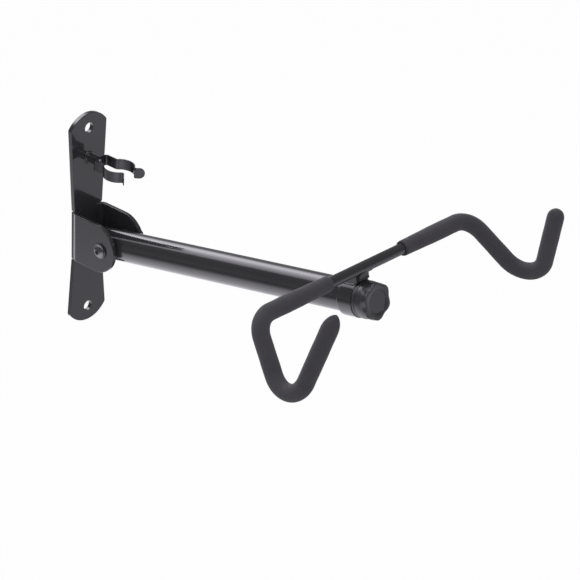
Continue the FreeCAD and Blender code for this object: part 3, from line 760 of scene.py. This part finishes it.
def bead(name, path, normals, body, finish):
    """Weld bead along a closed path that lies on a surface. Its section is a circle flattened
    towards the surface. It swells with |sin| ripples, and slowly widens three times on the way round."""
    headings = unit(np.roll(path, -1, axis=0) - np.roll(path, 1, axis=0))
    steps = np.linalg.norm(np.roll(path, -1, axis=0) - path, axis=1)
    gone = np.cumsum(steps)
    ripples = max(3, round(gone[-1] / weld_ripple))
    swell = np.abs(np.sin(math.pi * ripples * gone / gone[-1]))
    wander = np.sin(2 * math.pi * 3 * gone / gone[-1] + 0.7)
    radii = weld_radius * (0.82 + 0.16 * swell + 0.07 * wander)
    across = unit(normals - np.sum(normals * headings, axis=1)[:, None] * headings)
    beside = np.cross(headings, across)
    turns = full_turn(20)[None, :, None]
    spread = weld_flatness * np.cos(turns) * across[:, None] + np.sin(turns) * beside[:, None]
    rings = path[:, None] + radii[:, None, None] * spread
    return dress(ring_skin_of(name, rings), body, finish)


def rounded_loop(half_width, half_height, count):
    """Points round a rectangle with rounded corners: w sign(cos t) |cos t|^(2/7) across and the same
    of sin t along, t going once round."""
    angle = full_turn(count)
    power = 2 / 7
    x = half_width * np.sign(np.cos(angle)) * np.abs(np.cos(angle)) ** power
    y = half_height * np.sign(np.sin(angle)) * np.abs(np.sin(angle)) ** power
    return x, y


def evenly(path, count):
    """The same closed path, resampled at even distances."""
    closed = np.vstack([path, path[:1]])
    gone = np.concatenate([[0], np.cumsum(np.linalg.norm(np.diff(closed, axis=0), axis=1))])
    wanted = np.linspace(0, gone[-1], count, endpoint=False)
    return np.stack([np.interp(wanted, gone, closed[:, k]) for k in range(closed.shape[1])], axis=1)


def neck_to_bar_weld(finish):
    """Bead round the neck's top, over the lower back quarter of the bar."""
    across, round_bar = rounded_loop(neck_half_width, bar_weld_half_turn, 400)
    flat = evenly(np.stack([across, round_bar * bar_radius], axis=1), 260)
    angle = bar_weld_middle + flat[:, 1] / bar_radius
    along = np.cos(angle)
    up = np.sin(angle)
    reach = bar_radius + bar_weld_lift
    path = arm_points(flat[:, 0], bar_along + reach * along, bar_up + reach * up)
    normals = along[:, None] * ALONG + up[:, None] * UP
    return bead("neck_to_bar_weld", path, normals, "holder", finish)


def neck_to_collar_weld(finish):
    """Bead round the neck's foot, on the collar."""
    middle = (neck_back + collar_front) / 2
    half = (collar_front - neck_back) / 2 - collar_weld_inset
    across, lengthwise = rounded_loop(neck_half_width, half, 400)
    flat = evenly(np.stack([across, lengthwise], axis=1), 260)
    reach = collar_radius + collar_weld_lift
    up = np.sqrt(reach**2 - flat[:, 0] ** 2)
    path = arm_points(flat[:, 0], middle + flat[:, 1], up)
    normals = unit(flat[:, 0][:, None] * SIDE + up[:, None] * UP)
    return bead("neck_to_collar_weld", path, normals, "holder", finish)


def post_weld(finish):
    """Bead round the clip post's foot, on the plate."""
    low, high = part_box("clip_post")
    angle = full_turn(160)
    centre_height = (low.z + high.z) / 2
    front = high.y - post_weld_inset
    path = np.stack([
        post_weld_radius * np.cos(angle),
        np.full_like(angle, front),
        centre_height + post_weld_radius * np.sin(angle),
    ], axis=1)
    normals = np.broadcast_to([0.0, -1.0, 0.0], path.shape)
    return bead("post_weld", path, normals, "wall_bracket", finish)


# ------------------------------------------------------------------ stage


def studio_world():
    """White to the camera and through glass. What gloss reflects above the floor is a studio: a dim
    wall, paler towards the floor, with a long window-like softbox high up behind the rack and a small
    light nearly overhead. Each light is a ramp across x times a ramp up z, and the softbox is only on
    the side where y is positive."""
    finish = Finish(bpy.context.scene.world or bpy.data.worlds.new("studio"))
    bpy.context.scene.world = finish.owner
    direction = finish.node("ShaderNodeTexCoord", output="Generated")
    x = finish.node("ShaderNodeSeparateXYZ", {}, [direction], "X")
    y = finish.node("ShaderNodeSeparateXYZ", {}, [direction], "Y")
    z = finish.node("ShaderNodeSeparateXYZ", {}, [direction], "Z")
    across = finish.ramp(0.5 + 0.5 * x, softbox_across)
    upwards = finish.ramp(0.5 + 0.5 * z, softbox_upwards)
    behind = finish.ramp(0.5 + 0.5 * y, softbox_behind)
    wall = finish.ramp(0.5 + 0.5 * z, wall_upwards)
    overhead = finish.ramp(0.5 + 0.5 * x, overhead_across) * finish.ramp(0.5 + 0.5 * z, overhead_upwards)
    room = wall + softbox_radiance * across * upwards * behind + overhead_radiance * overhead
    tinted = finish.node(
        "ShaderNodeVectorMath", {"operation": "SCALE"}, {"Vector": studio_tint, "Scale": room}
    )
    mirrored = finish.node("ShaderNodeLightPath", output="Is Glossy Ray")
    seen = finish.node("ShaderNodeLightPath", output="Is Camera Ray")
    through = finish.node("ShaderNodeLightPath", output="Is Transmission Ray")
    around = finish.blend(mirrored, colour(*[world_fill * part for part in studio_tint]), tinted)
    shown = finish.blend(seen + through + mirrored_white * mirrored, around, colour(1, 1, 1))
    background = finish.node("ShaderNodeBackground", {}, {"Color": shown, "Strength": 1.0})
    finish.node("ShaderNodeOutputWorld", {}, {"Surface": background})


def studio_floor():
    """Pale floor, well below the rack as under a wall-hung thing. It is white to the camera and keeps
    a soft shadow. What gloss reflects of it is painted light: a glow that is a ramp along one diagonal, with a
    dark band and a bright band, as if lamped from the back left."""
    height = packed_low.z - floor_drop
    corners = np.array([[-1, -1], [1, -1], [1, 1], [-1, 1]]) * floor_half_width
    points = np.column_stack([corners, np.full(4, height)])
    floor = smooth_object("studio_floor", points, [[0, 1, 2, 3]])
    finish = Finish(bpy.data.materials.new("pale_floor"))
    place = finish.place()
    x = finish.node("ShaderNodeSeparateXYZ", {}, [place], "X")
    y = finish.node("ShaderNodeSeparateXYZ", {}, [place], "Y")
    # Painted light: the glow that gloss sees follows this diagonal ramp over the floor, not any lamp
    diagonal = floor_diagonal_start + floor_diagonal_x * x + floor_diagonal_y * y
    painted_floor_light = finish.blend(finish.ramp(diagonal, floor_diagonal), colour(0, 0, 0), colour(*studio_tint))
    seen = finish.node("ShaderNodeLightPath", output="Is Camera Ray")
    mirrored = finish.node("ShaderNodeLightPath", output="Is Glossy Ray")
    through = finish.node("ShaderNodeLightPath", output="Is Transmission Ray")
    matte = finish.node("ShaderNodeBsdfDiffuse", {}, {"Color": colour(0.8, 0.8, 0.8)})
    white = finish.node("ShaderNodeEmission", {}, {"Color": colour(1, 1, 1), "Strength": 1.0})
    glow = finish.node("ShaderNodeEmission", {}, {"Color": painted_floor_light, "Strength": floor_radiance})
    shown_white = floor_whiteness * (seen + through)
    plain = finish.node("ShaderNodeMixShader", {}, {0: shown_white, 1: matte, 2: white})
    mixed = finish.node("ShaderNodeMixShader", {}, {0: mirrored, 1: plain, 2: glow})
    finish.node("ShaderNodeOutputMaterial", {}, {"Surface": mixed})
    floor.data.materials.append(finish.owner)


def softbox(name, place, target, width, height, radiance, tint):
    """Area lamp at a place, facing a target, that looks radiance times as bright as white."""
    lamp = bpy.data.lights.new(name, "AREA")
    lamp.shape = "RECTANGLE"
    lamp.size = width
    lamp.size_y = height
    lamp.energy = radiance * math.pi * width * height
    lamp.color = tint
    holder = bpy.data.objects.new(name, lamp)
    aim = (Vector(target) - Vector(place)).to_track_quat("-Z", "Y")
    holder.matrix_world = Matrix.Translation(place) @ aim.to_matrix().to_4x4()
    holder.visible_glossy = False
    bpy.context.scene.collection.objects.link(holder)


def studio_lamps():
    """Soft lamps for matte surfaces. Gloss doesn't mirror them, because it sees the world's softbox."""
    middle = (packed_low + packed_high) / 2
    softbox("back_softbox", middle + Vector((0.45, 1.75, 1.15)), middle, 1.9, 0.62, 3.5, studio_tint)
    softbox("front_fill", middle + Vector((-1.6, -1.2, 1.6)), middle, 1.0, 1.0, 1.2, studio_tint)


def studio_camera():
    """Long lens from the left, above and in front, leaning a little to one side."""
    azimuth = math.radians(-48.37)
    elevation = math.radians(28.07)
    lean = math.radians(2.50)
    target = Vector((0.0956, -0.2000, -0.04225))
    distance = 2.999
    back = Vector((
        math.sin(azimuth) * math.cos(elevation),
        -math.cos(azimuth) * math.cos(elevation),
        math.sin(elevation),
    ))
    level = Vector((0, 0, 1)).cross(back).normalized()
    upright = back.cross(level)
    right = level * math.cos(lean) + upright * math.sin(lean)
    over = upright * math.cos(lean) - level * math.sin(lean)
    data = bpy.data.cameras.new("camera")
    data.lens = 183.5
    data.sensor_width = 36.0
    camera = bpy.data.objects.new("camera", data)
    turned = Matrix((right, over, back)).transposed().to_4x4()
    camera.matrix_world = Matrix.Translation(target + back * distance) @ turned
    bpy.context.scene.collection.objects.link(camera)
    bpy.context.scene.camera = camera


# ------------------------------------------------------------------ putting it together


def finish_packed_parts(finishes):
    """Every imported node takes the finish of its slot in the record."""
    slots = {part["node"]: part["material_slot"] for part in frame["record"]["subparts"]}
    for node, piece in frame["nodes"].items():
        piece.data.materials.clear()
        piece.data.materials.append(finishes[slots[node]])


def main():
    black_paint = gloss_black_paint()
    fasteners = black_zinc()
    foam = closed_cell_foam()
    weld = weld_paint()
    finishes = {
        "black_paint": black_paint,
        "clip_spring_steel": blackened_spring_steel(),
        "dark_fasteners": fasteners,
        "bright_steel": bright_zinc(),
        "nylon": moulded_nylon(),
        "friction_fibre": pressed_fibre(),
        "knob_plastic": satin_knob_plastic(),
        "foam": foam,
    }
    finish_packed_parts(finishes)
    foam_sleeve(-1, "left_foam", "left_sleeve", foam)
    foam_sleeve(1, "right_foam", "right_sleeve", foam)
    hinge_bolt(fasteners)
    hand_knob(finishes["knob_plastic"])
    knob_washer(finishes["nylon"])
    neck_to_bar_weld(weld)
    neck_to_collar_weld(weld)
    post_weld(weld)

    studio_world()
    studio_floor()
    studio_lamps()
    studio_camera()
    bpy.context.scene.view_settings.view_transform = "Standard"


main()
